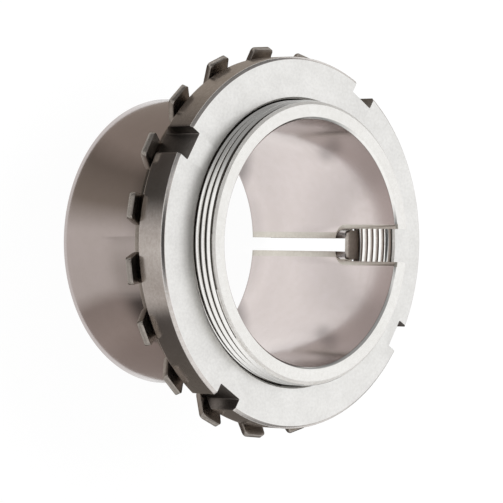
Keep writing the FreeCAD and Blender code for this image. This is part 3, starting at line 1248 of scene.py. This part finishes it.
@dataclass
class Studio:
    """A pale floor, soft light and the photograph's point of view."""

    # The point that the camera looks at.
    aim: Vector = field(default_factory=lambda: Vector((-8.409, -2.559, 40.367)) * MM)
    azimuth: float = math.radians(-89.52)  # where the camera stands, as a turn from -Y
    elevation: float = math.radians(44.652)  # its height above the horizon
    roll: float = math.radians(90.882)  # its turn about the line of sight
    distance: float = 833.0 * MM  # from the aim to the camera
    lens: float = 226.46  # focal length in millimetres on a 36 mm frame
    floor_half: float = 3.0  # half the floor's side
    floor_paint: Colour = (0.86, 0.86, 0.86)  # the floor's colour under the lamps
    floor_glow: float = 1.03  # how bright the floor is to the eye
    floor_white: float = 0.93  # share of that brightness, where the rest keeps the shadow
    daylight: float = 0.65  # how much light comes from all round
    room_way: Point2 = (-0.711, 0.703)  # X and Z of the way to the dark side of the room, behind the camera
    room: Rise = Rise(0.90, 0.08)  # where that side begins in a mirror, along that way
    horizon: Rise = Rise(0.30, -0.25)  # where the sky gets darker downwards
    # Where it gets darker to the left, and where that ends to the front.
    left: tuple[Rise, Rise] = (Rise(0.34, 0.22), Rise(0.90, -0.38))
    # Where it gets darker to the right, and where that begins to the front.
    right: tuple[Rise, Rise] = (Rise(-0.40, -0.20), Rise(0.20, 0.30))
    # How much darker room, horizon, left and right are.
    sky_dims: tuple[float, float, float, float] = (0.95, 0.60, 0.72, 0.48)
    # The sleeve's painted reflection, what it mirrors by the turn from +X round to +X.
    near_shades: Shades = (
        (0.00, (0.195, 0.17, 0.146)), (0.33, (0.38, 0.325, 0.30)), (0.362, (0.46, 0.40, 0.37)),
        (0.408, (0.395, 0.345, 0.32)), (0.430, (0.73, 0.695, 0.67)), (0.510, (0.78, 0.744, 0.72)),
        (0.550, (0.317, 0.28, 0.244)), (0.60, (0.215, 0.185, 0.16)), (0.640, (0.36, 0.31, 0.275)),
        (1.00, (0.244, 0.207, 0.17)),
    )
    # The nut rim's painted reflection, likewise.
    far_shades: Shades = (
        (0.00, (0.14, 0.12, 0.11)), (0.30, (0.14, 0.125, 0.11)), (0.400, (0.085, 0.075, 0.07)),
        (0.420, (0.55, 0.515, 0.49)), (0.456, (0.54, 0.51, 0.485)), (0.489, (0.69, 0.66, 0.635)),
        (0.514, (0.53, 0.50, 0.48)), (0.550, (0.06, 0.055, 0.05)), (0.63, (0.07, 0.06, 0.055)),
        (0.72, (0.34, 0.30, 0.26)),
    )
    near_end: Rise = Rise(60.0 * MM, 10.0 * MM)  # where the first gives way to the second
    card_hole: float = 40.0 * MM  # where the card round the foot begins
    card_end: Rise = Rise(200.0 * MM, -80.0 * MM)  # where it ends and how it fades
    card_height: float = 0.05 * MM  # how far the cards lie above the floor
    # The bore's painted reflection, from the slit's far side to the slit.
    bore_greys: tuple[Point2, ...] = (
        (0.266, 1.0), (0.437, 0.79), (0.625, 0.87), (0.766, 0.98), (0.875, 0.94), (0.92, 1.0),
        (0.969, 0.88),
    )
    bore_light: float = 1.40  # how bright a grey of 1 shines
    # Where the bore's card ends, and the small hole in its middle.
    bore_reach: Point2 = (32.0 * MM, 0.01 * MM)
    # Where its corners of painted shade begin and end across.
    corner_bands: tuple[Rise, Rise] = (Rise(14.0 * MM, 4.0 * MM), Rise(24.0 * MM, -3.0 * MM))
    corner_front: Rise = Rise(17.0 * MM, 4.0 * MM)  # where they begin to the slit
    beside: Rise = Rise(0.0, 10.0 * MM)  # where painted shade begins on its upper side
    bore_dims: Point2 = (0.50, 0.05)  # how strong the painted shade in the corners and on the side is
    lamp_place: Corner = (0.5, 0.3, 0.9)  # where the lamp hangs
    lamp_aim: Corner = (0.0, 0.0, 0.03)  # where it points
    lamp_size: float = 0.6  # its side
    lamp_power: float = 5.0  # in watts

    def camera(self) -> None:
        """Stand the camera where the photograph was taken from."""
        lens = bpy.data.cameras.new("camera")
        lens.lens = self.lens
        lens.sensor_width = 36.0
        lens.clip_start = 0.01
        lens.clip_end = 50.0
        made = new_object("camera", lens)
        back = Vector((
            math.sin(self.azimuth) * math.cos(self.elevation),
            -math.cos(self.azimuth) * math.cos(self.elevation),
            math.sin(self.elevation),
        ))
        level = back.to_track_quat("Z", "Y").to_matrix().to_4x4()
        turned = level @ Matrix.Rotation(self.roll, 4, "Z")
        made.matrix_world = Matrix.Translation(self.aim + back * self.distance) @ turned
        bpy.context.scene.camera = made

    def floor(self) -> None:
        """Lay the pale floor, white to the eye and in mirrors and glass, with the object's shadow on it."""
        material, board = blank_material("pale_floor")
        path = board.add("ShaderNodeLightPath")
        camera, glossy = board.wire(path, "Is Camera Ray"), board.wire(path, "Is Glossy Ray")
        seen = (camera + glossy + board.wire(path, "Is Transmission Ray")).clamped()
        paint = board.take("ShaderNodeBsdfDiffuse", {"Color": opaque(self.floor_paint)})
        glow = board.glow((1.0, 1.0, 1.0), self.floor_glow)
        board.surface(board.mixed_shaders(seen * self.floor_white, paint, glow))
        bm = bmesh.new()
        half = self.floor_half
        corners = ((-half, -half), (half, -half), (half, half), (-half, half))
        bm.faces.new([bm.verts.new((x, y, 0.0)) for x, y in corners])
        made = object_from(bm, "pale_floor")
        made.data.materials.append(material)

    def world(self) -> None:
        """Light everything softly from all round, with a white sky to the eye."""
        sky = bpy.data.worlds.new("soft_sky")
        sky.use_nodes = True
        sky.node_tree.nodes.clear()
        board = Board(sky.node_tree)
        path = board.add("ShaderNodeLightPath")
        mirrored, seen = board.wire(path, "Is Glossy Ray"), board.wire(path, "Is Camera Ray")
        x, y, z = board.parts(board.place("Generated"))
        room_x, room_z = self.room_way
        shares = (
            self.room.of(x * room_x + z * room_z),
            self.horizon.of(z),
            self.left[0].of(y) * self.left[1].of(x),
            self.right[0].of(y) * self.right[1].of(x),
        )
        room, horizon, left, right = (1.0 - share * dim for share, dim in zip(shares, self.sky_dims))
        ceiling = room * horizon * left * right
        level = self.daylight + seen * (1.0 - self.daylight) + mirrored * (ceiling - self.daylight)
        light = board.take("ShaderNodeBackground", {"Color": (1.0, 1.0, 1.0, 1.0), "Strength": level})
        board.add("ShaderNodeOutputWorld", None, {"Surface": light})
        bpy.context.scene.world = sky

    def card(self) -> None:
        """Lay a glowing card round the foot that only mirrors see, pale in front and dark beside: a painted
        reflection for the turned sides.
        """
        material, board = blank_material("floor_card")
        x, y, _ = board.parts(board.place())
        radius = (x * x + y * y).math("SQRT")
        turn = y.math("ARCTAN2", x * -1.0) / (2.0 * math.pi) + 0.5
        near, far = board.shade(self.near_shades, turn), board.shade(self.far_shades, turn)
        glow = board.glow(board.mixed(self.near_end.of(radius), near, far), 1.0)
        clear = board.take("ShaderNodeBsdfTransparent")
        board.surface(board.mixed_shaders(self.card_end.of(radius), clear, glow))
        self.lay("floor_card", self.card_hole, self.card_end.start, material)

    def bore_card(self) -> None:
        """Lay a glowing disc inside the bore that only mirrors see, a painted reflection for the bore, with
        painted shade in two corners by the slit.
        """
        material, board = blank_material("bore_card")
        x, y, _ = board.parts(board.place())
        reach, hole = self.bore_reach
        greys = [(place, (grey, grey, grey)) for place, grey in self.bore_greys]
        shade = board.shade(greys, x / (2.0 * reach) + 0.5)
        off = abs(y)
        begin, end = self.corner_bands
        corner = begin.of(off) * end.of(off) * self.corner_front.of(x)
        corner_dim, beside_dim = self.bore_dims
        level = (1.0 - corner * corner_dim) * (1.0 - self.beside.of(y) * beside_dim)
        board.surface(board.glow(board.mixed(level, (0.0, 0.0, 0.0), shade), self.bore_light))
        self.lay("bore_card", hole, reach, material)

    def lay(self, name: str, inner: float, outer: float, material: Material) -> None:
        """Lay a flat ring on the floor that shows only in mirrors.

        Args:
            name: Its name.
            inner: Radius of its inner edge.
            outer: Radius of its outer edge.
            material: Its finish.
        """
        bm = bmesh.new()
        add_turned_skin(bm, ((inner, self.card_height), (outer, self.card_height)))
        made = object_from(bm, name)
        made.data.materials.append(material)
        made.visible_camera = False
        made.visible_diffuse = False
        made.visible_shadow = False
        made.visible_transmission = False

    def lamp(self) -> None:
        """Hang the soft lamp, which mirrors don't show."""
        light = bpy.data.lights.new("key_lamp", "AREA")
        light.shape = "SQUARE"
        light.size = self.lamp_size
        light.energy = self.lamp_power
        made = new_object("key_lamp", light)
        place = Vector(self.lamp_place)
        made.location = place
        made.visible_glossy = False
        made.rotation_mode = "QUATERNION"
        made.rotation_quaternion = (place - Vector(self.lamp_aim)).to_track_quat("Z", "Y")

    def build(self) -> None:
        """Set the studio up."""
        self.floor()
        self.world()
        self.card()
        self.bore_card()
        self.lamp()
        self.camera()
        bpy.context.scene.view_settings.view_transform = "Standard"


def place_piece(piece: Object, body: str, node: str) -> None:
    """Tie a finished piece to the frame and report it.

    Args:
        piece: The piece.
        body: The body that it rides on.
        node: The node that it stands for.
    """
    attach(piece, body)
    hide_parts(node)
    triangles = sum(len(face.vertices) - 2 for face in piece.data.polygons)
    LOG.info("%s: %d triangles, %d open edges", piece.name, triangles, open_edges(piece.data))


def main() -> None:
    """Build the pieces, tie them to the frame and set up the studio."""
    logging.basicConfig(level=logging.INFO, format="%(message)s")
    # root is near black painted shade, for the thread roots and the edge of the nut's mouth.
    thread, root, mouth = (finish.material() for finish in (THREAD_STEEL, SHADED_ROOT_STEEL, MOUTH_STEEL))
    sleeve = Sleeve().build({
        SleeveZone.GROUND: GROUND_STEEL.material(),
        SleeveZone.THREAD: thread,
        SleeveZone.ROOT: root,
        SleeveZone.FILED: FILED_STEEL.material(),
        SleeveZone.NOSE: NOSE_STEEL.material(),
        SleeveZone.LEAD_IN: mouth,
    })
    place_piece(sleeve, "sleeve", "sleeve")
    washer = Washer().build({
        WasherZone.SHEET: WASHER_STEEL.material(),
        WasherZone.INNER_TAB: LIT_INNER_TAB_STEEL.material(),
    })
    place_piece(washer, "washer", "lock_washer")
    nut = Nut().build({
        NutZone.FACE: FACE_STEEL.material(),
        NutZone.RIM: RIM_STEEL.material(),
        NutZone.SLOT: SHADED_SLOT_STEEL.material(),
        NutZone.ROOT: SHADED_GROOVE_STEEL.material(),
        NutZone.THREAD: thread,
        NutZone.MOUTH: mouth,
        NutZone.MOUTH_EDGE: root,
    })
    place_piece(nut, "nut", "lock_nut")
    Studio().build()


if __name__ == "__main__":
    main()
